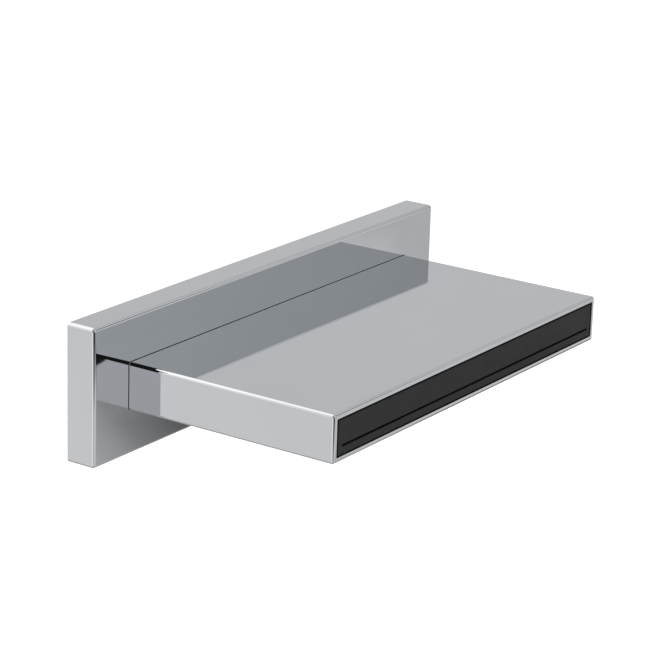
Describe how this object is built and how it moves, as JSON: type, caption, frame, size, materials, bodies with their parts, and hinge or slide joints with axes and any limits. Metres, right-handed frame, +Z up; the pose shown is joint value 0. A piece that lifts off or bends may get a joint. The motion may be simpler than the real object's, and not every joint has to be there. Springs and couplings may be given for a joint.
{
  "type": "waterfall tub filler",
  "caption": "Wall-mounted waterfall bath filler: rectangular chrome wall plate and wide flat spout with a slotted dark outlet insert, inlet tail and stud fixings behind.",
  "frame": {"origin": "centre of the wall plate's back, on the wall's surface", "axes": "+Y into the wall, so that the spout stands out along -Y; +X to the right as seen from the front; +Z up"},
  "size_m": [0.268, 0.166, 0.064],
  "materials": {
    "polished_chrome": "polished chrome plate",
    "charcoal_plastic": "fine moulded satin",
    "white_plastic": "moulded",
    "black_rubber": "moulded",
    "foam_rubber": "closed-cell sheet",
    "raw_brass": "machined",
    "zinc_steel": "zinc plated",
    "stainless": "satin stainless"
  },
  "bodies": {
    "filler": {"wall_plate": "polished_chrome", "wall_gasket": "foam_rubber", "collar_seal": "black_rubber", "spout_body": "polished_chrome", "mount_flange": "raw_brass", "flange_gasket": "foam_rubber", "inlet_tail": "raw_brass", "tail_seal": "black_rubber", "strainer_ring": "black_rubber", "strainer_mesh": "stainless", "fixing_studs": "zinc_steel", "backing_pad": "foam_rubber", "backing_bar": "zinc_steel", "stud_washers": "zinc_steel", "stud_nuts": "zinc_steel", "plate_screws": "stainless", "diffuser_plate": "stainless"},
    "cartridge": {"outlet_insert": "charcoal_plastic", "insert_seal": "black_rubber", "flow_straightener": "white_plastic", "cartridge_screws": "stainless"}
  },
  "joints": [
    {"name": "cartridge_slide", "type": "slide", "parent": "filler", "child": "cartridge", "axis": [0, -1, 0], "range_m": [0, 0.02]}
  ]
}
